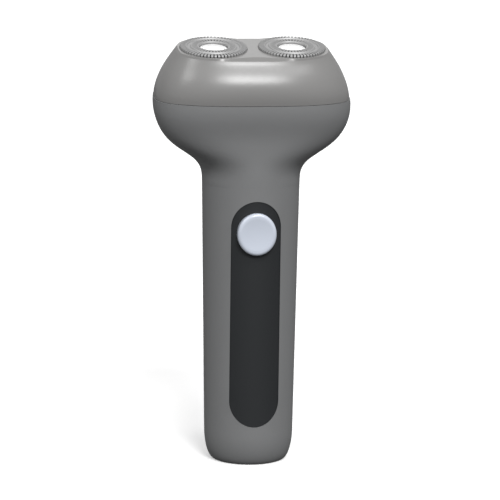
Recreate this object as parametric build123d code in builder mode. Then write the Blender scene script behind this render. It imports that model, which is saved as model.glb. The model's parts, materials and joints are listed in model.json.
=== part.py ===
from build123d import *
import os
from math import acos, atan2, cos, degrees, hypot, pi, radians, sin, sqrt, tan

os.makedirs("parts", exist_ok=True)

# Rotary shaver. Millimetres, +Z up along the handle, front towards -Y, origin in the middle of the flat base.

# ---- driving dimensions -------------------------------------------------------------------------------

# handle: a slightly tapered round bar with a softly rounded lower end
HANDLE_BASE_RADIUS = 15.45
HANDLE_TAPER = 0.016
HANDLE_TOP = 98.0
BASE_FLAT_RADIUS = 12.2
BASE_CURVE_HEIGHT = 10.8
WALL = 2.0

# head: leans forwards, and its own plane HEAD lies in the seam under the cutting axes
TILT = 12.0
HEAD_Y = 1.67
HEAD_Z = 130.81
SEAM_GAP = 0.15
DECK_TOP = 14.5
HEAD_SQUARENESS = 2.8
SEAM_HALF_WIDTH = 34.0
SEAM_FRONT = 20.9
SEAM_BACK = 17.9

# cutting units
UNIT_SPACING = 27.26
GUARD_RADIUS = 11.65
GUARD_TOP = 15.3
GUARD_FLOAT = 1.2
UNIT_RUN = 0.1

# gears
MODULE = 0.5
PINION_TEETH = 14
GEAR_TEETH = 42
PRESSURE_ANGLE = radians(20)
ADDENDUM = 0.8 * MODULE
DEDENDUM = 1.05 * MODULE
TOOTH_PLAY = 0.05

# grip panel and button
PANEL_HALF_WIDTH = 8.65
PANEL_TOP = 93.6
PANEL_BOTTOM = 14.0
PANEL_END = 9.2
PANEL_DEPTH = 1.0
PANEL_RECESS = 0.25
BUTTON_Z = 82.3
BUTTON_HALF_WIDTH = 6.75
BUTTON_HALF_HEIGHT = 7.35
BUTTON_FACE = 18.3
BUTTON_TRAVEL = 0.8
BUTTON_DISH_RADIUS = 48.0
BUTTON_DISH_DEPTH = 0.32

# power train levels, measured along the head's axis from the seam
LEDGE = -2.9
DECK_UNDERSIDE = -2.4
SPLASH_DECK = -1.0
GEAR_HIGH = -3.4
GEAR_LOW = -6.2
GEAR_BASE_TOP = -7.2
GEAR_BASE_LOW = -8.6
MOTOR_LENGTH = 20.0
MOTOR_RADIUS = 10.2
MOTOR_FLAT = 7.7

# electronics in the handle
BOARD_FRONT = 9.4
BOARD_THICKNESS = 1.2
BOARD_HALF_WIDTH = 7.0
BOARD_LOW = 3.6
BOARD_HIGH = 94.0
CELL_RADIUS = 7.0
CELL_LENGTH = 48.5
CELL_LOW = 24.0
CELL_Y = 1.4
SOCKET_Y = -6.5
SLIP = 0.05

HEAD = Plane(
    origin=(0, HEAD_Y, HEAD_Z), x_dir=(1, 0, 0), z_dir=(0, -sin(radians(TILT)), cos(radians(TILT)))
)
HALF_SPACING = UNIT_SPACING / 2
CENTRE_DISTANCE = MODULE * (PINION_TEETH + GEAR_TEETH) / 2
PINION_V = -sqrt(CENTRE_DISTANCE**2 - HALF_SPACING**2)
SIDES = (("left", -1), ("right", 1))


# ---- shared helpers -----------------------------------------------------------------------------------

def write_piece(piece, name):
    """Labels a finished piece and writes its STEP file."""
    piece.part.label = name
    export_step(piece.part, f"parts/{name}.step")


def handle_radius(z):
    """Outer radius of the handle at a height."""
    return HANDLE_BASE_RADIUS + HANDLE_TAPER * z


def seat(x=0.0, v=0.0, h=0.0):
    """Plane parallel to the seam, x to the right, v to the back, h along the head's axis."""
    return Plane(origin=HEAD.from_local_coords((x, v, h)), x_dir=HEAD.x_dir, z_dir=HEAD.z_dir)


def axis_of(plane):
    """Axis through a plane's origin along its normal."""
    return Axis(plane.origin, plane.z_dir)


def oval_points(half_width, front, back, power, waist=0.0, count=28):
    """Points on a superellipse that reaches `front` to -v and `back` to +v, pinched between the two units."""
    middle = (back - front) / 2
    depth = (back + front) / 2
    points = []
    for step in range(count):
        angle = 2 * pi * step / count
        reach = (abs(cos(angle)) ** power + abs(sin(angle)) ** power) ** (-1 / power)
        x = half_width * cos(angle) * reach
        pinch = cos(pi * x / UNIT_SPACING) ** 2 if abs(x) < HALF_SPACING else 0.0
        points.append((x, middle + depth * sin(angle) * reach * (1 - waist * pinch)))
    return points


def oval_section(plane, half_width, front, back, power, waist=0.0):
    """One closed superellipse face on a plane."""
    with BuildSketch(plane) as section:
        with BuildLine():
            Spline(*oval_points(half_width, front, back, power, waist), periodic=True)
        make_face()
    return section.sketch


# ---- grip panel: thin dark inlay that follows the handle ----------------------------------------------------

def panel_outline(grow=0.0):
    """Long face of the grip panel in the XZ plane: straight sides and half-oval ends."""
    half = PANEL_HALF_WIDTH + grow
    end = PANEL_END + grow
    low = PANEL_BOTTOM + PANEL_END
    high = PANEL_TOP - PANEL_END
    with BuildSketch(Plane.XZ) as outline:
        with BuildLine():
            Line((half, low), (half, high))
            EllipticalCenterArc((0, high), half, end, start_angle=0, arc_size=180)
            Line((-half, high), (-half, low))
            EllipticalCenterArc((0, low), half, end, start_angle=180, arc_size=180)
        make_face()
    return outline.sketch


def handle_core(inset):
    """Tapered solid inside the handle, used to trim pieces to its curve."""
    with BuildSketch(Plane.XZ) as half:
        with BuildLine():
            Polyline(
                (0, 0),
                (handle_radius(0) - inset, 0),
                (handle_radius(HANDLE_TOP) - inset, HANDLE_TOP),
                (0, HANDLE_TOP),
                close=True,
            )
        make_face()
    with BuildPart() as core:
        revolve(half.sketch, axis=Axis.Z)
    return core.part


def button_outline(grow=0.0):
    """Oval face of the power button in the XZ plane."""
    with BuildSketch(Plane.XZ) as outline:
        with Locations((0, BUTTON_Z)):
            Ellipse(BUTTON_HALF_WIDTH + grow, BUTTON_HALF_HEIGHT + grow)
    return outline.sketch


BUTTON_SLIP = 0.15
panel_skin = handle_core(PANEL_RECESS)
pocket_floor = handle_core(PANEL_DEPTH)
inlay_face = panel_outline(-0.08)
button_hole = button_outline(BUTTON_SLIP)

with BuildPart() as grip_panel:
    extrude(inlay_face, amount=20)
    add(panel_skin, mode=Mode.INTERSECT)
    add(pocket_floor, mode=Mode.SUBTRACT)
    extrude(button_hole, amount=20, mode=Mode.SUBTRACT)

write_piece(grip_panel, "grip_panel")


# ---- power button, its boot and switch ----------------------------------------------------------------------

BUTTON_FLANGE_FRONT = 11.9
BUTTON_FLANGE_BACK = 11.1
BUTTON_WALL = 1.0
STEM_TIP = 13.4
PLUNGER_TIP = 13.35
SWITCH_TOP = 12.2
button_face = button_outline()
button_inside = button_outline(-BUTTON_WALL)
button_flange = button_outline(0.7)

with BuildPart() as power_button:
    extrude(button_face, amount=BUTTON_FACE)
    front_edges = power_button.edges().group_by(Axis.Y)[0]
    fillet(front_edges, radius=1.1)
    with Locations((0, BUTTON_DISH_DEPTH - BUTTON_FACE - BUTTON_DISH_RADIUS, BUTTON_Z)):
        Sphere(BUTTON_DISH_RADIUS, mode=Mode.SUBTRACT)
    extrude(button_flange, amount=BUTTON_FLANGE_FRONT)
    extrude(button_flange, amount=BUTTON_FLANGE_BACK, mode=Mode.SUBTRACT)
    extrude(button_inside, amount=BUTTON_FACE - 1.6, mode=Mode.SUBTRACT)
    with BuildSketch(Plane.XZ.offset(STEM_TIP)):
        with Locations((0, BUTTON_Z)):
            Circle(1.4)
    extrude(amount=BUTTON_FACE - 1.2 - STEM_TIP)

write_piece(power_button, "power_button")

with BuildPart() as button_boot:
    with BuildSketch(Plane.XZ.offset(BOARD_FRONT + SLIP)):
        with Locations((0, BUTTON_Z)):
            Ellipse(BUTTON_HALF_WIDTH - 0.3, BUTTON_HALF_HEIGHT + 0.5)
            Ellipse(BUTTON_HALF_WIDTH - 1.1, BUTTON_HALF_HEIGHT - 0.3, mode=Mode.SUBTRACT)
    extrude(amount=BUTTON_FLANGE_BACK - BOARD_FRONT - 2 * SLIP)

write_piece(button_boot, "button_boot")

with BuildPart() as switch_body:
    with BuildSketch(Plane.XZ.offset(BOARD_FRONT)):
        with Locations((0, BUTTON_Z)):
            RectangleRounded(6.2, 6.2, 0.4)
    extrude(amount=SWITCH_TOP - BOARD_FRONT)
    with BuildSketch(Plane.XZ.offset(SWITCH_TOP)):
        with Locations((0, BUTTON_Z)):
            Circle(1.8)
    extrude(amount=-1.4, mode=Mode.SUBTRACT)

write_piece(switch_body, "switch_body")

with BuildPart() as switch_plunger:
    with BuildSketch(Plane.XZ.offset(SWITCH_TOP - 0.5)):
        with Locations((0, BUTTON_Z)):
            Circle(1.74)
    extrude(amount=PLUNGER_TIP - SWITCH_TOP + 0.5)

write_piece(switch_plunger, "switch_plunger")


# ---- circuit board and the parts on it ----------------------------------------------------------------------

with BuildPart() as circuit_board:
    with BuildSketch(Plane.XZ.offset(BOARD_FRONT - BOARD_THICKNESS)):
        with Locations((0, (BOARD_LOW + BOARD_HIGH) / 2)):
            RectangleRounded(2 * BOARD_HALF_WIDTH, BOARD_HIGH - BOARD_LOW, 0.8)
        with Locations((-5.0, 66.0), (5.0, 20.0)):
            Circle(0.95, mode=Mode.SUBTRACT)
    extrude(amount=BOARD_THICKNESS)

write_piece(circuit_board, "circuit_board")

# width, height on the board, height above it, place across and up
CHIPS = (
    (4.0, 4.9, 1.2, 0.0, 44.0),
    (3.0, 3.0, 0.9, 3.4, 55.0),
    (5.0, 5.0, 2.4, -2.6, 32.0),
    (1.6, 0.9, 0.6, 3.6, 38.0),
    (1.6, 0.9, 0.6, 3.6, 40.4),
    (1.6, 0.9, 0.6, -4.0, 52.0),
)

with BuildPart() as board_components:
    for chip_width, chip_height, chip_depth, chip_x, chip_z in CHIPS:
        with BuildSketch(Plane.XZ.offset(BOARD_FRONT)):
            with Locations((chip_x, chip_z)):
                Rectangle(chip_width, chip_height)
        extrude(amount=chip_depth)

write_piece(board_components, "board_components")


# ---- charging socket in the flat base -----------------------------------------------------------------------

SOCKET_WIDTH = 8.9
SOCKET_DEPTH = 3.2
SOCKET_HEIGHT = 7.3
SOCKET_FLOOR = 0.5
SOCKET_SHELL = 0.3


def socket_outline(height, grow=0.0):
    """Rounded slot of the charging socket in a horizontal plane."""
    with BuildSketch(Plane.XY.offset(height)) as outline:
        with Locations((0, SOCKET_Y)):
            SlotOverall(SOCKET_WIDTH + 2 * grow, SOCKET_DEPTH + 2 * grow)
    return outline.sketch


socket_outside = socket_outline(SOCKET_FLOOR)
socket_inside = socket_outline(SOCKET_FLOOR, -SOCKET_SHELL)

with BuildPart() as charging_socket:
    extrude(socket_outside, amount=SOCKET_HEIGHT)
    extrude(socket_inside, amount=SOCKET_HEIGHT - 1.0, mode=Mode.SUBTRACT)
    with BuildSketch(Plane.XY.offset(SOCKET_FLOOR + 1.2)):
        with Locations((0, SOCKET_Y)):
            Rectangle(6.7, 0.7)
    extrude(amount=SOCKET_HEIGHT - 2.0)

write_piece(charging_socket, "charging_socket")


# ---- inner chassis, cell and its tabs -----------------------------------------------------------------------

CHASSIS_FRONT = BOARD_FRONT - BOARD_THICKNESS - SLIP
CHASSIS_BACK = CHASSIS_FRONT - 1.2
CHASSIS_LOW = 13.0
CHASSIS_HIGH = 92.0
CELL_HIGH = CELL_LOW + CELL_LENGTH
CRADLE_HEIGHTS = (CELL_LOW + 6.0, CELL_LOW + CELL_LENGTH / 2, CELL_HIGH - 6.0)
END_WALL = 1.4

with BuildPart() as inner_chassis:
    with BuildSketch(Plane.XZ.offset(CHASSIS_BACK)):
        with Locations((0, (CHASSIS_LOW + CHASSIS_HIGH) / 2)):
            RectangleRounded(17.0, CHASSIS_HIGH - CHASSIS_LOW, 1.5)
        with Locations((-5.0, 66.0), (5.0, 20.0)):
            Circle(0.7, mode=Mode.SUBTRACT)
    extrude(amount=CHASSIS_FRONT - CHASSIS_BACK)
    for cradle_z in CRADLE_HEIGHTS:
        with BuildSketch(Plane.XY.offset(cradle_z - 1.5)):
            with Locations((0, -2.8)):
                Rectangle(18.0, 8.4)
            with Locations((0, CELL_Y)):
                Circle(CELL_RADIUS + 0.1, mode=Mode.SUBTRACT)
        extrude(amount=3.0)
    for wall_z in (CELL_LOW - 1.0 - END_WALL, CELL_HIGH + 1.0):
        with BuildSketch(Plane.XY.offset(wall_z)):
            Circle(12.6)
            with Locations((0, -12.6 - CHASSIS_BACK)):
                Rectangle(30.0, 25.2, mode=Mode.SUBTRACT)
            with Locations((0, CELL_Y)):
                Circle(2.2, mode=Mode.SUBTRACT)
        extrude(amount=END_WALL)

write_piece(inner_chassis, "inner_chassis")

with BuildPart() as board_screws:
    for screw_x, screw_z in ((-5.0, 66.0), (5.0, 20.0)):
        with BuildSketch(Plane.XZ.offset(CHASSIS_BACK + 0.1)):
            with Locations((screw_x, screw_z)):
                Circle(0.65)
        extrude(amount=BOARD_FRONT - CHASSIS_BACK)
        with BuildSketch(Plane.XZ.offset(BOARD_FRONT + 0.02)):
            with Locations((screw_x, screw_z)):
                Circle(1.4)
        extrude(amount=0.8)

write_piece(board_screws, "board_screws")

with BuildPart() as battery_cell:
    with BuildSketch(Plane.XY.offset(CELL_LOW)):
        with Locations((0, CELL_Y)):
            Circle(CELL_RADIUS)
    extrude(amount=CELL_LENGTH - 0.8)
    cell_rims = battery_cell.edges().filter_by(GeomType.CIRCLE)
    fillet(cell_rims, radius=0.6)
    with BuildSketch(Plane.XY.offset(CELL_HIGH - 0.9)):
        with Locations((0, CELL_Y)):
            Circle(2.8)
    extrude(amount=0.8)

write_piece(battery_cell, "battery_cell")

with BuildPart() as battery_tabs:
    for tab_z in (CELL_LOW - 0.35, CELL_HIGH - 0.08):
        with BuildSketch(Plane.XY.offset(tab_z)):
            with Locations((0, CELL_Y)):
                Rectangle(5.0, 11.0)
        extrude(amount=0.3)

write_piece(battery_tabs, "battery_tabs")


# ---- gear outlines ------------------------------------------------------------------------------------------

def involute(angle):
    """Involute function of a pressure angle."""
    return tan(angle) - angle


def gear_face(plane, teeth, phase):
    """Spur gear face on a plane, with its first tooth at a phase in degrees."""
    pitch = MODULE * teeth / 2
    base = pitch * cos(PRESSURE_ANGLE)
    tip = pitch + ADDENDUM
    root = pitch - DEDENDUM
    half_at_pitch = (pi * MODULE / 2 - TOOTH_PLAY) / 2 / pitch
    flank = []
    start = max(root, base)
    for step in range(5):
        radius = start + (tip - start) * step / 4
        turn = half_at_pitch + involute(PRESSURE_ANGLE) - involute(acos(base / radius))
        flank.append((radius * cos(turn), radius * sin(turn)))
    inner = root - 0.3
    foot_turn = atan2(flank[0][1], flank[0][0])
    foot = (inner * cos(foot_turn), inner * sin(foot_turn))
    with BuildSketch() as tooth:
        with BuildLine():
            Polyline(foot, flank[0])
            Spline(*flank)
            Line(flank[-1], (flank[-1][0], -flank[-1][1]))
            Spline(*[(x, -y) for x, y in reversed(flank)])
            Polyline((flank[0][0], -flank[0][1]), (foot[0], -foot[1]), foot)
        make_face()
    with BuildSketch(plane) as face:
        Circle(root)
        with PolarLocations(0, teeth, start_angle=phase):
            add(tooth.sketch)
    return face.sketch


def gear_phase(x):
    """Angle of a drive gear's first tooth that puts it in mesh with the pinion."""
    towards = degrees(atan2(-PINION_V, x))
    pinion_share = towards / (360 / PINION_TEETH)
    return towards + 180 - (360 / GEAR_TEETH) * (0.5 - pinion_share)


# ---- gear train ---------------------------------------------------------------------------------------------

SHAFT_RADIUS = 0.75
AXLE_RADIUS = 1.0
AXLE_TOP = 1.3
TUBE_RADIUS = 3.4
TUBE_BORE = 2.6
TUBE_TOP = 2.4
KEY_SLOT_FLOOR = -0.8
KEY_REACH = 3.1

pinion_face = gear_face(seat(v=PINION_V, h=GEAR_LOW - 0.2), PINION_TEETH, 0)

with BuildPart() as drive_pinion:
    extrude(pinion_face, amount=GEAR_HIGH - GEAR_LOW + 0.4)
    with BuildSketch(seat(v=PINION_V, h=GEAR_LOW - 0.6)):
        Circle(2.6)
    extrude(amount=0.4)
    with BuildSketch(seat(v=PINION_V, h=GEAR_LOW - 1)):
        Circle(SHAFT_RADIUS + 0.01)
    extrude(amount=6, mode=Mode.SUBTRACT)

write_piece(drive_pinion, "drive_pinion")

for side, sign in SIDES:
    x = sign * HALF_SPACING
    toothed_face = gear_face(seat(x, h=GEAR_LOW), GEAR_TEETH, gear_phase(x))
    with BuildPart(seat(x, h=GEAR_LOW)) as drive_gear:
        extrude(toothed_face, amount=GEAR_HIGH - GEAR_LOW)
        with BuildSketch(seat(x, h=GEAR_BASE_TOP + 0.1)):
            Circle(3.0)
        extrude(amount=GEAR_LOW - GEAR_BASE_TOP)
        with BuildSketch(seat(x, h=GEAR_HIGH)):
            Circle(TUBE_RADIUS)
        extrude(amount=TUBE_TOP - GEAR_HIGH)
        with BuildSketch(seat(x, h=GEAR_HIGH)):
            Circle(TUBE_BORE)
        extrude(amount=TUBE_TOP - GEAR_HIGH, mode=Mode.SUBTRACT)
        with BuildSketch(seat(x, h=KEY_SLOT_FLOOR)):
            Rectangle(2 * TUBE_RADIUS + 1, 1.3)
        extrude(amount=TUBE_TOP - KEY_SLOT_FLOOR, mode=Mode.SUBTRACT)
        with BuildSketch(seat(x, h=GEAR_BASE_TOP)):
            Circle(AXLE_RADIUS + SLIP)
        extrude(amount=5, mode=Mode.SUBTRACT)
        with BuildSketch(seat(x, h=GEAR_HIGH)):
            with PolarLocations(6.9, 6):
                Circle(1.7)
        extrude(amount=-(GEAR_HIGH - GEAR_LOW), mode=Mode.SUBTRACT)
    write_piece(drive_gear, f"drive_gear_{side}")

SPINDLE_LOW = 0.6
SPINDLE_SHOULDER = 3.4
SPINDLE_TOP = 10.4
SPINDLE_FLATS = 3.4
SPRING_WIRE = 0.22
SPRING_RADIUS = 1.85

for side, sign in SIDES:
    x = sign * HALF_SPACING
    with BuildPart() as spindle:
        with BuildSketch(seat(x, h=SPINDLE_LOW)):
            Circle(TUBE_BORE - SLIP)
            Rectangle(2 * KEY_REACH, 1.1)
        extrude(amount=1.4)
        with BuildSketch(seat(x, h=SPINDLE_LOW)):
            Circle(TUBE_BORE - SLIP)
        extrude(amount=SPINDLE_SHOULDER - SPINDLE_LOW)
        with BuildSketch(seat(x, h=SPINDLE_SHOULDER)):
            RegularPolygon(SPINDLE_FLATS / 2, 6, major_radius=False)
        extrude(amount=SPINDLE_TOP - SPINDLE_SHOULDER)
        tip_edges = spindle.faces().sort_by(axis_of(HEAD))[-1].edges()
        chamfer(tip_edges, length=0.4)
        with BuildSketch(seat(x, h=SPINDLE_LOW)):
            Circle(AXLE_RADIUS + 0.15)
        extrude(amount=2.1, mode=Mode.SUBTRACT)
    write_piece(spindle, f"spindle_{side}")

for side, sign in SIDES:
    x = sign * HALF_SPACING
    coil_low = GEAR_HIGH + SPRING_WIRE + 0.15
    coil_height = SPINDLE_LOW - SPRING_WIRE - 0.15 - coil_low
    with BuildPart() as spindle_spring:
        with BuildLine() as coil:
            Helix(
                pitch=coil_height / 3.5,
                height=coil_height,
                radius=SPRING_RADIUS,
                center=HEAD.from_local_coords((x, 0, coil_low)),
                direction=HEAD.z_dir,
            )
        with BuildSketch(Plane(coil.line @ 0, z_dir=coil.line % 0)):
            Circle(SPRING_WIRE)
        sweep(path=coil.line)
    write_piece(spindle_spring, f"spindle_spring_{side}")

with BuildPart() as gear_axles:
    with BuildSketch(seat(h=GEAR_BASE_LOW)):
        with Locations((-HALF_SPACING, 0), (HALF_SPACING, 0)):
            Circle(AXLE_RADIUS)
    extrude(amount=AXLE_TOP - GEAR_BASE_LOW)

write_piece(gear_axles, "gear_axles")

DECK_BOSSES = ((-24.5, 8.0), (24.5, 8.0), (-24.5, -11.0), (24.5, -11.0))
DECK_RIM_INSET = 1.5
GEARBOX_POSTS = ((0, 9.3), (0, -13.2), (-27.0, 0), (27.0, 0))
MOTOR_SCREWS = ((-7.0, PINION_V), (7.0, PINION_V))
MOTOR_BOSS_RADIUS = 3.1

with BuildPart() as gear_base:
    with BuildSketch(seat(h=GEAR_BASE_LOW)):
        with BuildLine():
            Polyline(
                (29.2, -2.4), (29.2, 2.4), (7.0, 11.6), (-7.0, 11.6),
                (-29.2, 2.4), (-29.2, -2.4), (-6.0, -15.6), (6.0, -15.6),
                close=True,
            )
        make_face()
        with Locations((-HALF_SPACING, 0), (HALF_SPACING, 0)):
            Circle(AXLE_RADIUS, mode=Mode.SUBTRACT)
        with Locations((0, PINION_V)):
            Circle(MOTOR_BOSS_RADIUS + 0.1, mode=Mode.SUBTRACT)
        with Locations(*MOTOR_SCREWS):
            Circle(1.1, mode=Mode.SUBTRACT)
        with Locations(*GEARBOX_POSTS):
            Circle(1.15, mode=Mode.SUBTRACT)
    extrude(amount=GEAR_BASE_TOP - GEAR_BASE_LOW)

write_piece(gear_base, "gear_base")

with BuildPart() as gearbox_screws:
    with BuildSketch(seat(h=GEAR_BASE_LOW - 0.9)):
        with Locations(*GEARBOX_POSTS):
            Circle(1.8)
    extrude(amount=0.88)
    with BuildSketch(seat(h=GEAR_BASE_LOW - 0.1)):
        with Locations(*GEARBOX_POSTS):
            Circle(1.0)
    extrude(amount=5.0)

write_piece(gearbox_screws, "gearbox_screws")


# ---- motor ----------------------------------------------------------------------------------------------------

MOTOR_TOP = GEAR_BASE_LOW - SLIP
MOTOR_LOW = MOTOR_TOP - MOTOR_LENGTH
CAN_WALL = 0.7
CAP_DEPTH = 2.2


def motor_outline(height, shrink=0.0):
    """Round outline with two flats, around the motor's axis."""
    with BuildSketch(seat(v=PINION_V, h=height)) as outline:
        Circle(MOTOR_RADIUS - shrink)
        Rectangle(2 * MOTOR_RADIUS, 2 * (MOTOR_FLAT - shrink), mode=Mode.INTERSECT)
    return outline.sketch


can_outside = motor_outline(MOTOR_LOW)
can_inside = motor_outline(MOTOR_LOW, CAN_WALL)

with BuildPart() as motor_can:
    extrude(can_outside, amount=MOTOR_LENGTH)
    extrude(can_inside, amount=MOTOR_LENGTH - CAN_WALL, mode=Mode.SUBTRACT)
    with BuildSketch(seat(v=PINION_V, h=MOTOR_TOP)):
        Circle(MOTOR_BOSS_RADIUS)
    extrude(amount=1.2)
    with BuildSketch(seat(v=PINION_V, h=MOTOR_TOP + 1.2)):
        Circle(SHAFT_RADIUS + SLIP)
    extrude(amount=-4, mode=Mode.SUBTRACT)
    with BuildSketch(seat(h=MOTOR_TOP)):
        with Locations(*MOTOR_SCREWS):
            Circle(0.85)
    extrude(amount=-4, mode=Mode.SUBTRACT)

write_piece(motor_can, "motor_can")

MAGNET_OUTER = 6.9
MAGNET_INNER = 5.6

with BuildPart() as motor_magnets:
    with BuildSketch(seat(v=PINION_V, h=MOTOR_LOW + 4.0)):
        Circle(MAGNET_OUTER)
        Circle(MAGNET_INNER, mode=Mode.SUBTRACT)
        Rectangle(3.0, 2 * MAGNET_OUTER + 1, mode=Mode.SUBTRACT)
    extrude(amount=13.0)

write_piece(motor_magnets, "motor_magnets")

with BuildPart() as motor_endcap:
    cap_inside = motor_outline(MOTOR_LOW, CAN_WALL + SLIP)
    cap_outside = motor_outline(MOTOR_LOW - 1.0, 0.3)
    extrude(cap_outside, amount=1.0)
    extrude(cap_inside, amount=CAP_DEPTH)
    with BuildSketch(seat(v=PINION_V, h=MOTOR_LOW - 1.0)):
        Circle(SHAFT_RADIUS + SLIP)
    extrude(amount=CAP_DEPTH + 2, mode=Mode.SUBTRACT)
    with BuildSketch(seat(v=PINION_V, h=MOTOR_LOW - 1.0)):
        Circle(2.6)
        Circle(SHAFT_RADIUS + 2 * SLIP, mode=Mode.SUBTRACT)
    extrude(amount=-0.8)
    with BuildSketch(seat(v=PINION_V, h=MOTOR_LOW - 1.0)):
        with Locations((-7.0, 0), (7.0, 0)):
            Rectangle(0.5, 2.4)
    extrude(amount=-2.0)

write_piece(motor_endcap, "motor_endcap")

with BuildPart() as motor_rotor:
    with BuildSketch(seat(v=PINION_V, h=MOTOR_LOW - 1.6)):
        Circle(SHAFT_RADIUS)
    extrude(amount=GEAR_HIGH + 0.5 - MOTOR_LOW + 1.6)
    with BuildSketch(seat(v=PINION_V, h=MOTOR_LOW + 5.0)):
        Circle(5.2)
        with PolarLocations(5.2, 3):
            Rectangle(3.4, 1.2, mode=Mode.SUBTRACT)
    extrude(amount=11.0)
    with BuildSketch(seat(v=PINION_V, h=MOTOR_LOW + 2.6)):
        Circle(2.2)
    extrude(amount=2.4)

write_piece(motor_rotor, "motor_rotor")

with BuildPart() as motor_screws:
    with BuildSketch(seat(h=GEAR_BASE_TOP + 0.02)):
        with Locations(*MOTOR_SCREWS):
            Circle(1.8)
    extrude(amount=0.6)
    with BuildSketch(seat(h=GEAR_BASE_TOP + 0.1)):
        with Locations(*MOTOR_SCREWS):
            Circle(0.8)
    extrude(amount=-3.6)

write_piece(motor_screws, "motor_screws")


def lead_path(x):
    """Ends and bend points of one motor lead, from a motor terminal to the board."""
    start = HEAD.from_local_coords((x, PINION_V, MOTOR_LOW - 3.8))
    return (start, Vector(0.9 * x, -1.0, start.Z - 2.5), Vector(0.75 * x, -7.55, 93.2))


with BuildPart() as motor_leads:
    for lead_x in (-7.0, 7.0):
        with BuildLine() as lead:
            Spline(*lead_path(lead_x))
        with BuildSketch(Plane(lead.line @ 0, z_dir=lead.line % 0)):
            Circle(0.5)
        sweep(path=lead.line)

write_piece(motor_leads, "motor_leads")


# ---- splash-proof drive deck --------------------------------------------------------------------------------

COLLAR_RADIUS = 5.0
COLLAR_TOP = 1.6
SEAL_SEAT = 0.8
SEAL_RADIUS = 4.4
MAGNET_PLACES = ((-28.0, -1.5), (28.0, -1.5))
MAGNET_RADIUS = 2.0
UNIT_PLACES = ((-HALF_SPACING, 0), (HALF_SPACING, 0))


# how far back and how high the parting line runs, seen from the side
PARTING_LINE = (
    (-26.0, 0.55), (-20.9, 0.0), (-14.0, -0.95), (-7.0, -1.85), (0.0, -2.45), (7.0, -2.7), (16.0, -2.75), (26.0, -2.75)
)
PARTING_REACH = 40.0


def rim_oval(h, inset):
    """Outline of the head at the seam, inset, on a plane parallel to it."""
    return oval_section(
        seat(h=h), SEAM_HALF_WIDTH - inset, SEAM_FRONT - inset, SEAM_BACK - inset, HEAD_SQUARENESS
    )


def parting_face(lift, side):
    """Face beside the parting line, raised by `lift`: above it for a positive side, below it for a negative one."""
    plane = Plane(origin=HEAD.origin, x_dir=HEAD.y_dir, z_dir=HEAD.x_dir)
    with BuildSketch(plane) as face:
        with BuildLine():
            line = Spline(*[(v, h + lift) for v, h in PARTING_LINE])
            Polyline(line @ 1, (PARTING_LINE[-1][0], side), (PARTING_LINE[0][0], side), line @ 0)
        make_face()
    return face.sketch


deck_face = rim_oval(DECK_UNDERSIDE, DECK_RIM_INSET + 0.1)

with BuildPart() as drive_deck:
    extrude(deck_face, amount=SPLASH_DECK - DECK_UNDERSIDE)
    with BuildSketch(seat(h=SPLASH_DECK)):
        with Locations(*UNIT_PLACES):
            Circle(COLLAR_RADIUS)
    extrude(amount=COLLAR_TOP - SPLASH_DECK)
    with BuildSketch(seat(h=DECK_UNDERSIDE)):
        with Locations(*GEARBOX_POSTS):
            Circle(1.8)
    extrude(amount=GEAR_BASE_TOP - DECK_UNDERSIDE)
    with BuildSketch(seat(h=GEAR_BASE_TOP)):
        with Locations(*GEARBOX_POSTS):
            Circle(1.02)
    extrude(amount=4.2, mode=Mode.SUBTRACT)
    with BuildSketch(seat(h=DECK_UNDERSIDE)):
        with Locations(*UNIT_PLACES):
            Circle(TUBE_RADIUS + 0.5)
        with Locations(*DECK_BOSSES):
            Circle(1.1)
    extrude(amount=6, mode=Mode.SUBTRACT)
    with BuildSketch(seat(h=SEAL_SEAT)):
        with Locations(*UNIT_PLACES):
            Circle(SEAL_RADIUS + 0.02)
    extrude(amount=3, mode=Mode.SUBTRACT)
    with BuildSketch(seat(h=SPLASH_DECK)):
        with Locations(*MAGNET_PLACES):
            Circle(MAGNET_RADIUS)
    extrude(amount=-1.0, mode=Mode.SUBTRACT)

write_piece(drive_deck, "drive_deck")

seal_face = rim_oval(LEDGE, DECK_RIM_INSET + 0.1)
seal_hole = rim_oval(LEDGE, DECK_RIM_INSET + 0.85)

with BuildPart() as deck_seal:
    extrude(seal_face, amount=DECK_UNDERSIDE - LEDGE)
    extrude(seal_hole, amount=DECK_UNDERSIDE - LEDGE, mode=Mode.SUBTRACT)

write_piece(deck_seal, "deck_seal")

with BuildPart() as spindle_seals:
    with BuildSketch(seat(h=SEAL_SEAT + 0.02)):
        with Locations(*UNIT_PLACES):
            Circle(SEAL_RADIUS)
            Circle(TUBE_RADIUS + SLIP, mode=Mode.SUBTRACT)
    extrude(amount=COLLAR_TOP - SEAL_SEAT - 0.02)

write_piece(spindle_seals, "spindle_seals")

with BuildPart() as hold_magnets:
    with BuildSketch(seat(h=SPLASH_DECK)):
        with Locations(*MAGNET_PLACES):
            Circle(MAGNET_RADIUS - 0.02)
    extrude(amount=-0.98)

write_piece(hold_magnets, "hold_magnets")

with BuildPart() as deck_screws:
    with BuildSketch(seat(h=SPLASH_DECK + 0.02)):
        with Locations(*DECK_BOSSES):
            Circle(1.9)
    extrude(amount=0.9)
    with BuildSketch(seat(h=SPLASH_DECK + 0.1)):
        with Locations(*DECK_BOSSES):
            Circle(1.0)
    extrude(amount=-6.0)
    with BuildSketch(seat(h=SPLASH_DECK + 0.92)):
        with Locations(*DECK_BOSSES):
            Rectangle(2.2, 0.5)
            Rectangle(0.5, 2.2)
    extrude(amount=-0.5, mode=Mode.SUBTRACT)

write_piece(deck_screws, "deck_screws")


# ---- head cover ---------------------------------------------------------------------------------------------

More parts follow.
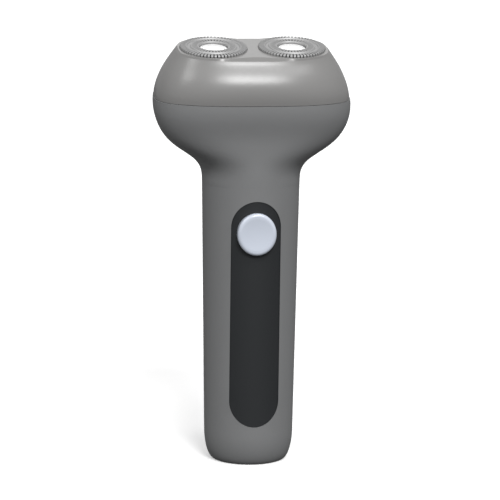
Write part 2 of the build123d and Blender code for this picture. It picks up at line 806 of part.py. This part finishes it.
# height above the seam, half-width, reach to the front, reach to the back, squareness
COVER_SECTIONS = (
    (-3.4, 33.9, 20.5, 17.5, HEAD_SQUARENESS),
    (0.0, 33.65, 20.55, 17.55, HEAD_SQUARENESS),
    (3.2, 32.8, 20.2, 17.3, 2.75),
    (6.2, 31.57, 19.2, 16.7, 2.7),
    (9.2, 29.88, 17.4, 15.6, 2.7),
    (12.5, 27.6, 14.6, 14.0, 2.8),
    (13.8, 26.7, 13.7, 13.45, 2.8),
)
COVER_WALL = 1.6
COVER_CEILING = 11.5
DECK_SHEET_LOW = 13.0
WELL_RADIUS = 12.2
LIP_LOW = -0.7
LIP_TOP = 2.0
PILLAR_LOW = -0.4
POST_LOW = 11.0
LOCK_SHAFT_RADIUS = 0.8

outer_sections = [oval_section(seat(h=h), *shape) for h, *shape in COVER_SECTIONS]
inner_sections = [
    oval_section(seat(h=h), half - COVER_WALL, front - COVER_WALL, back - COVER_WALL, power)
    for h, half, front, back, power in COVER_SECTIONS[:-2]
]
inner_sections.append(oval_section(seat(h=COVER_CEILING), 26.8, 13.9, 12.9, 2.8))
shoulder = oval_section(seat(h=COVER_SECTIONS[-1][0]), *COVER_SECTIONS[-1][1:])
deck_top = oval_section(seat(h=DECK_TOP), 26.0, 13.2, 13.2, 3.0, 0.19)
below_parting = parting_face(SEAM_GAP, -PARTING_REACH)
deck_room = rim_oval(COVER_SECTIONS[0][0], DECK_RIM_INSET - 0.15)
lip_outside = rim_oval(LIP_LOW, DECK_RIM_INSET + 0.15)
lip_inside = rim_oval(LIP_LOW, DECK_RIM_INSET + 1.3)

with BuildPart() as cover_hollow:
    loft(inner_sections)
    with BuildSketch(seat(h=PILLAR_LOW)):
        with Locations(*MAGNET_PLACES):
            Circle(MAGNET_RADIUS + 0.5)
    extrude(amount=9, mode=Mode.SUBTRACT)

with BuildPart() as head_cover:
    loft(outer_sections)
    loft([shoulder, deck_top], ruled=True)
    extrude(below_parting, amount=PARTING_REACH, both=True, mode=Mode.SUBTRACT)
    add(cover_hollow.part, mode=Mode.SUBTRACT)
    extrude(deck_room, amount=SPLASH_DECK + 0.15 - COVER_SECTIONS[0][0], mode=Mode.SUBTRACT)
    extrude(lip_outside, amount=LIP_TOP - LIP_LOW)
    extrude(lip_inside, amount=LIP_TOP - LIP_LOW, mode=Mode.SUBTRACT)
    with BuildSketch(seat(h=PILLAR_LOW)):
        with Locations(*MAGNET_PLACES):
            Circle(MAGNET_RADIUS + 0.5)
    extrude(amount=4)
    with BuildSketch(seat(h=PILLAR_LOW)):
        with Locations(*MAGNET_PLACES):
            Circle(MAGNET_RADIUS)
    extrude(amount=0.8, mode=Mode.SUBTRACT)
    with BuildSketch(seat(h=8.0)):
        with Locations(*UNIT_PLACES):
            Circle(WELL_RADIUS)
    extrude(amount=DECK_SHEET_LOW - 8.0, mode=Mode.SUBTRACT)
    with BuildSketch(seat(h=DECK_SHEET_LOW - 0.5)):
        with Locations(*UNIT_PLACES):
            Circle(GUARD_RADIUS + UNIT_RUN)
    extrude(amount=4, mode=Mode.SUBTRACT)
    with BuildSketch(seat(h=POST_LOW)):
        Circle(LOCK_SHAFT_RADIUS + 0.62)
    extrude(amount=DECK_SHEET_LOW + 0.3 - POST_LOW)
    with BuildSketch(seat(h=POST_LOW)):
        Circle(LOCK_SHAFT_RADIUS + SLIP)
    extrude(amount=2.0, mode=Mode.SUBTRACT)

write_piece(head_cover, "head_cover")

with BuildPart() as keeper_plates:
    with BuildSketch(seat(h=PILLAR_LOW)):
        with Locations(*MAGNET_PLACES):
            Circle(MAGNET_RADIUS - 0.02)
    extrude(amount=0.78)

write_piece(keeper_plates, "keeper_plates")


# ---- floating guards ----------------------------------------------------------------------------------------

GUARD_SKIRT = 12.2
FLANGE_RADIUS = 12.1
FLANGE_TOP = DECK_SHEET_LOW - 0.05
SHEET = 0.5
DISH_RADIUS = 5.0
DISH_FLOOR = 13.95
OUTER_SLOTS = 60
INNER_SLOTS = 40
SLOT_DEPTH = 1.0
CAP_RADIUS = 4.72
CAP_FACE = 14.4
CAP_RIM = 14.55


def upright_plane(x):
    """Plane through a unit's axis: local x runs outwards and local y along the head's axis."""
    return Plane(origin=HEAD.from_local_coords((x, 0, 0)), x_dir=HEAD.x_dir, z_dir=-HEAD.y_dir)


for side, sign in SIDES:
    x = sign * HALF_SPACING
    crown = GUARD_TOP - SHEET
    with BuildPart() as guard:
        with BuildSketch(upright_plane(x)):
            with BuildLine():
                Polyline(
                    (GUARD_RADIUS - 0.5, GUARD_TOP), (9.3, GUARD_TOP), (9.0, GUARD_TOP - 0.35),
                    (8.2, GUARD_TOP - 0.35), (7.9, GUARD_TOP), (DISH_RADIUS + 0.25, GUARD_TOP),
                    (DISH_RADIUS, GUARD_TOP - 0.25), (DISH_RADIUS, DISH_FLOOR), (0, DISH_FLOOR),
                    (0, DISH_FLOOR - SHEET), (DISH_RADIUS + 0.5, DISH_FLOOR - SHEET),
                    (DISH_RADIUS + 0.5, crown), (7.7, crown), (8.0, crown - 0.35), (9.2, crown - 0.35),
                    (9.5, crown), (GUARD_RADIUS - 0.55, crown), (GUARD_RADIUS - 0.55, GUARD_SKIRT),
                    (FLANGE_RADIUS, GUARD_SKIRT), (FLANGE_RADIUS, FLANGE_TOP),
                    (GUARD_RADIUS, FLANGE_TOP), (GUARD_RADIUS, GUARD_TOP - 0.5),
                )
                RadiusArc((GUARD_RADIUS, GUARD_TOP - 0.5), (GUARD_RADIUS - 0.5, GUARD_TOP), -0.5)
            make_face()
        revolve(axis=axis_of(seat(x)))
        with BuildSketch(seat(x, h=GUARD_TOP)):
            with PolarLocations(10.85, OUTER_SLOTS):
                Rectangle(2.5, 0.45)
            with PolarLocations(6.65, INNER_SLOTS):
                Rectangle(1.9, 0.4)
        extrude(amount=-SLOT_DEPTH, mode=Mode.SUBTRACT)
    write_piece(guard, f"guard_{side}")

for side, sign in SIDES:
    x = sign * HALF_SPACING
    with BuildPart() as guard_cap:
        with BuildSketch(upright_plane(x)):
            with BuildLine():
                Polyline(
                    (0, CAP_FACE), (0, DISH_FLOOR + 0.01), (CAP_RADIUS, DISH_FLOOR + 0.01),
                    (CAP_RADIUS, CAP_FACE), (CAP_RADIUS - 0.2, CAP_RIM), (CAP_RADIUS - 0.6, CAP_RIM),
                    (CAP_RADIUS - 1.0, CAP_FACE), close=True,
                )
            make_face()
        revolve(axis=axis_of(seat(x)))
    write_piece(guard_cap, f"guard_cap_{side}")


# ---- cutters and their hubs ---------------------------------------------------------------------------------

BLADES = 15
BLADE_TOP = GUARD_TOP - SHEET - 0.05
CARRIER_LOW = 12.5
CARRIER_TOP = 13.1
CARRIER_BORE = 2.6
HUB_LOW = 7.4
HUB_RADIUS = 3.2
SOCKET_FLATS = 3.6



def blade_ring(x, inner, outer):
    """Ring of slanted blades between two radii, standing on the carrier."""
    foot = CARRIER_TOP - 0.1
    rise = BLADE_TOP - foot
    plane = Plane(
        origin=HEAD.from_local_coords((x + inner, 0, foot)), x_dir=HEAD.y_dir, z_dir=HEAD.x_dir
    )
    with BuildSketch(plane) as profile:
        with BuildLine():
            Polyline((-0.25, 0), (0.35, 0), (0.85, rise), (0.35, rise), close=True)
        make_face()
    with BuildPart() as blade:
        extrude(profile.sketch, amount=outer - inner)
    axis = axis_of(seat(x))
    return [blade.part.rotate(axis, 360 * turn / BLADES) for turn in range(BLADES)]


for side, sign in SIDES:
    x = sign * HALF_SPACING
    rings = [blade_ring(x, 5.85, 7.6), blade_ring(x, 9.65, 10.95)]
    with BuildPart() as cutter:
        with BuildSketch(seat(x, h=CARRIER_LOW)):
            Circle(10.9)
            Circle(CARRIER_BORE, mode=Mode.SUBTRACT)
            with PolarLocations(4.3, 6):
                Circle(0.8, mode=Mode.SUBTRACT)
        extrude(amount=CARRIER_TOP - CARRIER_LOW)
        for ring in rings:
            add(ring)
    write_piece(cutter, f"cutter_{side}")

for side, sign in SIDES:
    x = sign * HALF_SPACING
    with BuildPart() as cutter_hub:
        with BuildSketch(seat(x, h=HUB_LOW)):
            Circle(HUB_RADIUS)
        extrude(amount=CARRIER_LOW - HUB_LOW - 0.02)
        with BuildSketch(seat(x, h=CARRIER_LOW - 0.25)):
            Circle(5.0)
        extrude(amount=0.23)
        with BuildSketch(seat(x, h=CARRIER_LOW - 0.1)):
            Circle(CARRIER_BORE - 0.02)
        extrude(amount=0.9)
        with BuildSketch(seat(x, h=HUB_LOW)):
            RegularPolygon(SOCKET_FLATS / 2, 6, major_radius=False)
        extrude(amount=3.2, mode=Mode.SUBTRACT)
    write_piece(cutter_hub, f"cutter_hub_{side}")


# ---- retaining frame and its lock wheel -----------------------------------------------------------------------

FRAME_LOW = 9.4
FRAME_TOP = 10.9
WHEEL_LOW = 6.6

with BuildPart() as retaining_frame:
    with BuildSketch(seat(h=FRAME_LOW)):
        with Locations(*UNIT_PLACES):
            Circle(11.9)
        Rectangle(9.0, 12.0)
        with Locations(*UNIT_PLACES):
            Circle(9.6, mode=Mode.SUBTRACT)
        with Locations(*UNIT_PLACES):
            Circle(5.0)
            Rectangle(1.6, 20.0)
            Rectangle(20.0, 1.6)
        with Locations(*UNIT_PLACES):
            Circle(HUB_RADIUS + 0.4, mode=Mode.SUBTRACT)
        Circle(LOCK_SHAFT_RADIUS + SLIP, mode=Mode.SUBTRACT)
    extrude(amount=FRAME_TOP - FRAME_LOW)

write_piece(retaining_frame, "retaining_frame")

with BuildPart() as lock_wheel:
    with BuildSketch(seat(h=WHEEL_LOW)):
        Circle(5.0)
        with PolarLocations(5.2, 16):
            Circle(0.5, mode=Mode.SUBTRACT)
    extrude(amount=FRAME_LOW - 0.1 - WHEEL_LOW)
    with BuildSketch(seat(h=FRAME_LOW - 0.2)):
        Circle(LOCK_SHAFT_RADIUS)
    extrude(amount=POST_LOW + 1.8 - FRAME_LOW)
    with BuildSketch(seat(h=WHEEL_LOW)):
        Circle(4.0)
        Rectangle(8.2, 1.4, mode=Mode.SUBTRACT)
    extrude(amount=1.4, mode=Mode.SUBTRACT)

write_piece(lock_wheel, "lock_wheel")


# ---- body shell: handle, neck and lower head in one piece -------------------------------------------------

# height on the handle's axis, lean, half-width, reach to the front, reach to the back, squareness
BODY_SECTIONS = (
    (102.0, 0.6, 17.3, 17.09, 17.1, 2.0),
    (105.2, 2.0, 18.75, 17.1, 17.2, 2.05),
    (109.4, 4.0, 23.7, 17.2, 17.5, 2.25),
    (113.9, 6.0, 29.4, 17.4, 17.9, 2.5),
    (118.2, 8.0, 32.4, 17.8, 18.5, 2.7),
    (122.6, 10.0, 33.9, 18.6, 19.1, HEAD_SQUARENESS),
    (127.0, 11.2, 34.25, 19.3, 19.5, HEAD_SQUARENESS),
    (130.46, TILT, SEAM_HALF_WIDTH, 19.4, 19.6, HEAD_SQUARENESS),
)


def leaning_plane(z, lean):
    """Plane through the handle's axis at a height, leaning forwards."""
    return Plane(origin=(0, 0, z), x_dir=(1, 0, 0), z_dir=(0, -sin(radians(lean)), cos(radians(lean))))


def flare(inset):
    """Solid of the neck and lower head, from the round handle to the seam, inset by a wall."""
    with BuildSketch(Plane.XY.offset(HANDLE_TOP)) as neck:
        Circle(handle_radius(HANDLE_TOP) - inset)
    sections = [neck.sketch]
    for z, lean, half_width, front, back, power in BODY_SECTIONS:
        plane = leaning_plane(z, lean)
        sections.append(oval_section(plane, half_width - inset, front - inset, back - inset, power))
    with BuildPart() as solid:
        loft(sections)
    return solid.part


def handle_bar(inset, floor):
    """Solid of the handle up to the neck, inset by a wall, standing on a floor height."""
    low_radius = handle_radius(BASE_CURVE_HEIGHT) - inset
    curve = BASE_CURVE_HEIGHT - floor
    with BuildPart() as solid:
        with BuildSketch(Plane.XZ):
            with BuildLine():
                Line((0, floor), (BASE_FLAT_RADIUS - inset, floor))
                EllipticalCenterArc(
                    (BASE_FLAT_RADIUS - inset, BASE_CURVE_HEIGHT),
                    low_radius - BASE_FLAT_RADIUS + inset,
                    curve,
                    start_angle=-90,
                    arc_size=90,
                )
                Line((low_radius, BASE_CURVE_HEIGHT), (handle_radius(HANDLE_TOP) - inset, HANDLE_TOP))
                Line((handle_radius(HANDLE_TOP) - inset, HANDLE_TOP), (0, HANDLE_TOP))
                Line((0, HANDLE_TOP), (0, floor))
            make_face()
        revolve(axis=Axis.Z)
    return solid.part


FLOOR = 2.4
FLARE_WALL = 2.6
bar_inside = handle_bar(WALL, FLOOR)
flare_inside = flare(FLARE_WALL)
bar_outside = handle_bar(0.0, 0.0)
flare_outside = flare(0.0)
above_parting = parting_face(0.0, PARTING_REACH)
rim_recess = rim_oval(LEDGE, DECK_RIM_INSET)
pocket_face = panel_outline()
socket_hole = socket_outline(-1.0, 0.1)

with BuildPart() as cavity:
    add(bar_inside)
    add(flare_inside)
    with BuildSketch(seat(h=LEDGE)):
        with Locations(*DECK_BOSSES):
            Circle(2.1)
            Circle(1.02, mode=Mode.SUBTRACT)
    extrude(amount=-22, mode=Mode.SUBTRACT)

with BuildPart() as panel_pocket:
    extrude(pocket_face, amount=20)
    add(pocket_floor, mode=Mode.SUBTRACT)

with BuildPart() as body_shell:
    add(bar_outside)
    add(flare_outside)
    extrude(above_parting, amount=PARTING_REACH, both=True, mode=Mode.SUBTRACT)
    add(cavity.part, mode=Mode.SUBTRACT)
    extrude(rim_recess, amount=6, mode=Mode.SUBTRACT)
    add(panel_pocket.part, mode=Mode.SUBTRACT)
    extrude(button_hole, amount=20, mode=Mode.SUBTRACT)
    extrude(socket_hole, amount=5, mode=Mode.SUBTRACT)

write_piece(body_shell, "body_shell")
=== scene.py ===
import json
from math import cos, radians, sin

import bpy
from mathutils import Matrix, Vector

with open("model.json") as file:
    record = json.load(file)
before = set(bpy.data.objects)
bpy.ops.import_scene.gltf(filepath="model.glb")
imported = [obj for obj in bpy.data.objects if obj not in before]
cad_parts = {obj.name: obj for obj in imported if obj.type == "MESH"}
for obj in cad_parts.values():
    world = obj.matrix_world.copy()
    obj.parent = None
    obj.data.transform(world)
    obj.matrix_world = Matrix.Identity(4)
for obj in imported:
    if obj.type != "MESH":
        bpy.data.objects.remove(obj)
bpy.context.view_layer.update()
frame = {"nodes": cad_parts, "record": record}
MM = 0.001
WHITE = (1, 1, 1, 1)


# ---- materials -------------------------------------------------------------------------------------------

# Scales are in features per metre. Changes are how far a colour goes to either side of its base colour.
EVEN = (1, 1, 1)
MOTTLE_SCALE = 60
MOTTLE_CHANGE = 0.03
GRAIN_ROUGHNESS = 0.04
COAT_ROUGHNESS = 0.25
GRIND_SCALE = 900
GRIND_CHANGE = 0.08
MARKS_SCALE = 700
MARKS_CHANGE = 0.02
MARKS_DEPTH = 0.001 * MM
BLOOM_SCALE = 400
BLOOM_CHANGE = 0.25
RUBBER_GRAIN_SCALE = 2500
RUBBER_GRAIN_DEPTH = 0.01 * MM
TRACK_SCALE = 420
TRACK_CUT = 0.55
TRACK_DEPTH = 0.02 * MM
MASK_GREEN = (0.01, 0.10, 0.035)
TRACK_GREEN = (0.03, 0.20, 0.07)


class Nodes:
    """Short way to build a material's node tree."""

    def __init__(self, name):
        self.material = bpy.data.materials.new(name)
        self.material.use_nodes = True
        self.tree = self.material.node_tree
        self.shader = self.tree.nodes["Principled BSDF"]
        self.place = self.add("ShaderNodeTexCoord").outputs["Object"]

    def add(self, kind, **inputs):
        """A node with some of its inputs set or linked. An input name uses _ for a space."""
        node = self.tree.nodes.new(kind)
        for key, value in inputs.items():
            self.put(node.inputs[key.replace("_", " ")], value)
        return node

    def put(self, socket, value):
        """Sets a socket to a value, or links it to an output."""
        if isinstance(value, bpy.types.NodeSocket):
            self.tree.links.new(value, socket)
        else:
            socket.default_value = value

    def mapped(self, stretch):
        """The object's own space, scaled along each axis."""
        mapping = self.add("ShaderNodeMapping", Vector=self.place)
        mapping.inputs["Scale"].default_value = stretch
        return mapping.outputs["Vector"]

    def noise(self, scale, detail=2.0, roughness=0.5, stretch=EVEN):
        """Noise value over the object's own space."""
        node = self.add("ShaderNodeTexNoise", Vector=self.mapped(stretch), Scale=scale)
        node.inputs["Detail"].default_value = detail
        node.inputs["Roughness"].default_value = roughness
        return node.outputs["Fac"]

    def spread(self, value, low, high):
        """A 0 to 1 value stretched between two numbers."""
        node = self.add("ShaderNodeMapRange", Value=value)
        node.inputs["To Min"].default_value = low
        node.inputs["To Max"].default_value = high
        return node.outputs["Result"]

    def tint(self, value, dark, light):
        """A colour between two colours."""
        node = self.tree.nodes.new("ShaderNodeMix")
        node.data_type = "RGBA"
        self.put(node.inputs["Factor"], value)
        node.inputs["A"].default_value = (*dark, 1)
        node.inputs["B"].default_value = (*light, 1)
        return node.outputs["Result"]

    def bump(self, height, depth):
        """Bumps the surface by a height value of a depth in metres."""
        node = self.add("ShaderNodeBump", Height=height, Strength=1.0, Distance=depth)
        self.put(self.shader.inputs["Normal"], node.outputs["Normal"])

    def set(self, **inputs):
        """Sets or links inputs of the surface shader, and hands back the material."""
        for key, value in inputs.items():
            self.put(self.shader.inputs[key.replace("_", " ")], value)
        return self.material


def shades(colour, change):
    """A darker and a lighter version of a colour."""
    return [tuple(channel * (1 + way * change) for channel in colour) for way in (-1, 1)]


def moulded_plastic(name, colour, roughness, grain=0.35 * MM, depth=0.01 * MM, coat=0.0):
    """Moulded plastic with a fine spark-eroded grain and faint flow mottling."""
    n = Nodes(name)
    mottle = n.noise(MOTTLE_SCALE, detail=3.0)
    fine = n.noise(1 / grain, detail=3.0, roughness=0.6)
    n.bump(fine, depth)
    n.set(Base_Color=n.tint(mottle, *shades(colour, MOTTLE_CHANGE)))
    n.set(Roughness=n.spread(fine, roughness - GRAIN_ROUGHNESS, roughness + GRAIN_ROUGHNESS))
    return n.set(Coat_Weight=coat, Coat_Roughness=COAT_ROUGHNESS)


def brushed_metal(name, colour, roughness, stretch=(1, 1, 14), depth=0.004 * MM, metallic=1.0):
    """Ground metal: fine lines across its upright axis, or an even grain where stretch is even."""
    n = Nodes(name)
    lines = n.noise(GRIND_SCALE, detail=4.0, roughness=0.7, stretch=stretch)
    n.bump(lines, depth)
    n.set(Base_Color=n.tint(lines, *shades(colour, GRIND_CHANGE)), Metallic=metallic)
    return n.set(Roughness=n.spread(lines, roughness - 0.06, roughness + 0.08))


def polished_metal(name, colour, roughness, metallic=1.0):
    """Plated bright metal with very faint handling marks."""
    n = Nodes(name)
    marks = n.noise(MARKS_SCALE, detail=5.0, stretch=(1, 6, 1))
    n.bump(marks, MARKS_DEPTH)
    n.set(Base_Color=n.tint(marks, *shades(colour, MARKS_CHANGE)), Metallic=metallic)
    return n.set(Roughness=n.spread(marks, roughness - 0.02, roughness + 0.04))


def rubber(name, colour):
    """Soft dull rubber with a dusty bloom."""
    n = Nodes(name)
    bloom = n.noise(BLOOM_SCALE, detail=4.0)
    n.bump(n.noise(RUBBER_GRAIN_SCALE), RUBBER_GRAIN_DEPTH)
    n.set(Base_Color=n.tint(bloom, *shades(colour, BLOOM_CHANGE)))
    return n.set(Roughness=0.8, Specular_IOR_Level=0.3)


def circuit_lacquer(name):
    """Solder mask with the copper under it showing as slightly lighter patches."""
    n = Nodes(name)
    cells = n.add("ShaderNodeTexVoronoi", Vector=n.mapped((TRACK_SCALE, TRACK_SCALE, TRACK_SCALE)))
    cells.distance = "MANHATTAN"
    cells.feature = "F1"
    tracks = n.add("ShaderNodeMath", Value=cells.outputs["Distance"])
    tracks.operation = "GREATER_THAN"
    tracks.inputs[1].default_value = TRACK_CUT
    n.bump(tracks.outputs["Value"], TRACK_DEPTH)
    n.set(Base_Color=n.tint(tracks.outputs["Value"], MASK_GREEN, TRACK_GREEN))
    return n.set(Roughness=0.3)


MATERIALS = {
    "body_plastic": moulded_plastic("body_plastic", (0.196, 0.199, 0.202), 0.50),
    "cover_plastic": moulded_plastic("cover_plastic", (0.230, 0.227, 0.224), 0.30, depth=0.002 * MM),
    "panel_plastic": moulded_plastic("panel_plastic", (0.015, 0.017, 0.019), 0.55),
    "button_plastic": moulded_plastic(
        "button_plastic", (0.60, 0.645, 0.735), 0.25, depth=0.001 * MM, coat=0.3,
    ),
    "guard_steel": brushed_metal("guard_steel", (0.40, 0.40, 0.40), 0.52, stretch=EVEN, metallic=0.5),
    # Painted reflection in part: the cap's near-white base colour stands in for the white surround that the
    # polished cap mirrors; the metallic share and the card light give real reflection.
    "bright_cap": polished_metal("bright_cap", (0.95, 0.95, 0.95), 0.18, metallic=0.35),
    "blade_steel": brushed_metal("blade_steel", (0.55, 0.55, 0.56), 0.28),
    "plain_steel": brushed_metal("plain_steel", (0.50, 0.50, 0.49), 0.30),
    "white_plastic": moulded_plastic("white_plastic", (0.72, 0.72, 0.69), 0.42),
    "black_plastic": moulded_plastic("black_plastic", (0.03, 0.03, 0.03), 0.48),
    "lock_plastic": moulded_plastic("lock_plastic", (0.60, 0.22, 0.04), 0.40),
    "board": circuit_lacquer("board"),
    "seal_rubber": rubber("seal_rubber", (0.03, 0.03, 0.03)),
    "boot_rubber": rubber("boot_rubber", (0.45, 0.45, 0.44)),
    "cell_sleeve": moulded_plastic("cell_sleeve", (0.04, 0.10, 0.32), 0.30, coat=0.4),
    "brass": polished_metal("brass", (0.78, 0.58, 0.28), 0.22),
    "wire": moulded_plastic("wire", (0.40, 0.03, 0.03), 0.35),
}


def paint(node, material):
    """Gives a CAD node one material in place of any it came with."""
    node.data.materials.clear()
    node.data.materials.append(material)


for part in frame["record"]["subparts"]:
    paint(frame["nodes"][part["node"]], MATERIALS[part["material_slot"]])


# ---- floor, light and camera -----------------------------------------------------------------------------

FLOOR_HALF = 9.0
PAPER_SCALE = 3.0
PAPER_DARK = (0.80, 0.80, 0.80)
PAPER_LIGHT = (0.82, 0.82, 0.82)
FLOOR_GLOW = 0.35
FLOOR_BOUNCE = 0.12
CARD_AIM_HEIGHT = 0.145
AIM_HEIGHT = 74.1 * MM
CAMERA_DISTANCE = 0.91
CAMERA_AZIMUTH = radians(-8.0)
CAMERA_ELEVATION = radians(9.5)
CAMERA_ROLL = radians(0.6)
CAMERA_LENS = 187.2
CAMERA_SENSOR = 36.0
CAMERA_CLIP = (0.05, 50)


def away(azimuth, elevation):
    """Unit vector from the object towards a direction, azimuth 0 being the front."""
    return Vector((
        sin(azimuth) * cos(elevation),
        -cos(azimuth) * cos(elevation),
        sin(elevation),
    ))


def seen_by_camera(n, shown, other):
    """One shader for what the camera sees directly and another for the light it sends elsewhere."""
    path = n.add("ShaderNodeLightPath")
    mix = n.tree.nodes.new("ShaderNodeMixShader")
    n.put(mix.inputs[0], path.outputs["Is Camera Ray"])
    n.put(mix.inputs[1], other)
    n.put(mix.inputs[2], shown)
    return mix.outputs[0]


def add_floor():
    """A plain pale floor that runs far behind the object and throws little light back up."""
    corners = [(x * FLOOR_HALF, y * FLOOR_HALF, 0) for x, y in ((-1, -1), (1, -1), (1, 1), (-1, 1))]
    mesh = bpy.data.meshes.new("floor")
    mesh.from_pydata(corners, [], [(0, 1, 2, 3)])
    floor = bpy.data.objects.new("floor", mesh)
    bpy.context.scene.collection.objects.link(floor)
    n = Nodes("floor")
    paper = n.tint(n.noise(PAPER_SCALE), PAPER_DARK, PAPER_LIGHT)
    glow = n.add("ShaderNodeEmission", Color=WHITE, Strength=FLOOR_GLOW)
    shown = n.tree.nodes.new("ShaderNodeAddShader")
    n.put(shown.inputs[0], n.add("ShaderNodeBsdfDiffuse", Color=paper).outputs[0])
    n.put(shown.inputs[1], glow.outputs[0])
    dull = n.add("ShaderNodeBsdfDiffuse", Color=(FLOOR_BOUNCE, FLOOR_BOUNCE, FLOOR_BOUNCE, 1))
    surface = n.tree.nodes["Material Output"].inputs["Surface"]
    n.put(surface, seen_by_camera(n, shown.outputs[0], dull.outputs[0]))
    mesh.materials.append(n.material)


def add_light(name, azimuth, elevation, strength, angle):
    """Soft distant light from a direction: azimuth 0 is the front, positive to the right."""
    data = bpy.data.lights.new(name, "SUN")
    data.energy = strength
    data.angle = radians(angle)
    lamp = bpy.data.objects.new(name, data)
    way = away(radians(azimuth), radians(elevation))
    lamp.rotation_euler = way.to_track_quat("Z", "Y").to_euler()
    bpy.context.scene.collection.objects.link(lamp)


def add_card(azimuth, elevation, width, power):
    """Small weak square light, one metre from the head, where the bright caps mirror it to the camera."""
    data = bpy.data.lights.new("card", "AREA")
    data.size = width
    data.energy = power
    card = bpy.data.objects.new("card", data)
    way = away(radians(azimuth), radians(elevation))
    card.location = Vector((0, 0, CARD_AIM_HEIGHT)) + way
    card.rotation_euler = way.to_track_quat("Z", "Y").to_euler()
    bpy.context.scene.collection.objects.link(card)


def add_world(strength):
    """An even surround of a given strength, and plain white where the camera sees it."""
    world = bpy.data.worlds.new("surround")
    world.use_nodes = True
    tree = world.node_tree
    path = tree.nodes.new("ShaderNodeLightPath")
    level = tree.nodes.new("ShaderNodeMapRange")
    tree.links.new(path.outputs["Is Camera Ray"], level.inputs["Value"])
    level.inputs["To Min"].default_value = strength
    tree.nodes["Background"].inputs["Color"].default_value = WHITE
    tree.links.new(level.outputs["Result"], tree.nodes["Background"].inputs["Strength"])
    bpy.context.scene.world = world


def add_camera():
    """Long-lens camera a little to the left of the front, looking slightly down."""
    data = bpy.data.cameras.new("camera")
    data.lens = CAMERA_LENS
    data.sensor_width = CAMERA_SENSOR
    data.clip_start, data.clip_end = CAMERA_CLIP
    camera = bpy.data.objects.new("camera", data)
    back = away(CAMERA_AZIMUTH, CAMERA_ELEVATION)
    level = (-back).to_track_quat("-Z", "Y").to_matrix().to_4x4()
    place = Matrix.Translation(Vector((0, 0, AIM_HEIGHT)) + back * CAMERA_DISTANCE)
    camera.matrix_world = place @ (level @ Matrix.Rotation(CAMERA_ROLL, 4, "Z"))
    bpy.context.scene.collection.objects.link(camera)
    bpy.context.scene.camera = camera


add_floor()
add_world(strength=0.42)
add_light("key", azimuth=6, elevation=40, strength=2.05, angle=17)
add_light("right", azimuth=42, elevation=56, strength=0.75, angle=16)
add_light("left", azimuth=-56, elevation=42, strength=0.6, angle=20)
add_card(azimuth=172, elevation=33.5, width=0.3, power=0.35)
add_camera()
bpy.context.scene.view_settings.view_transform = "Standard"
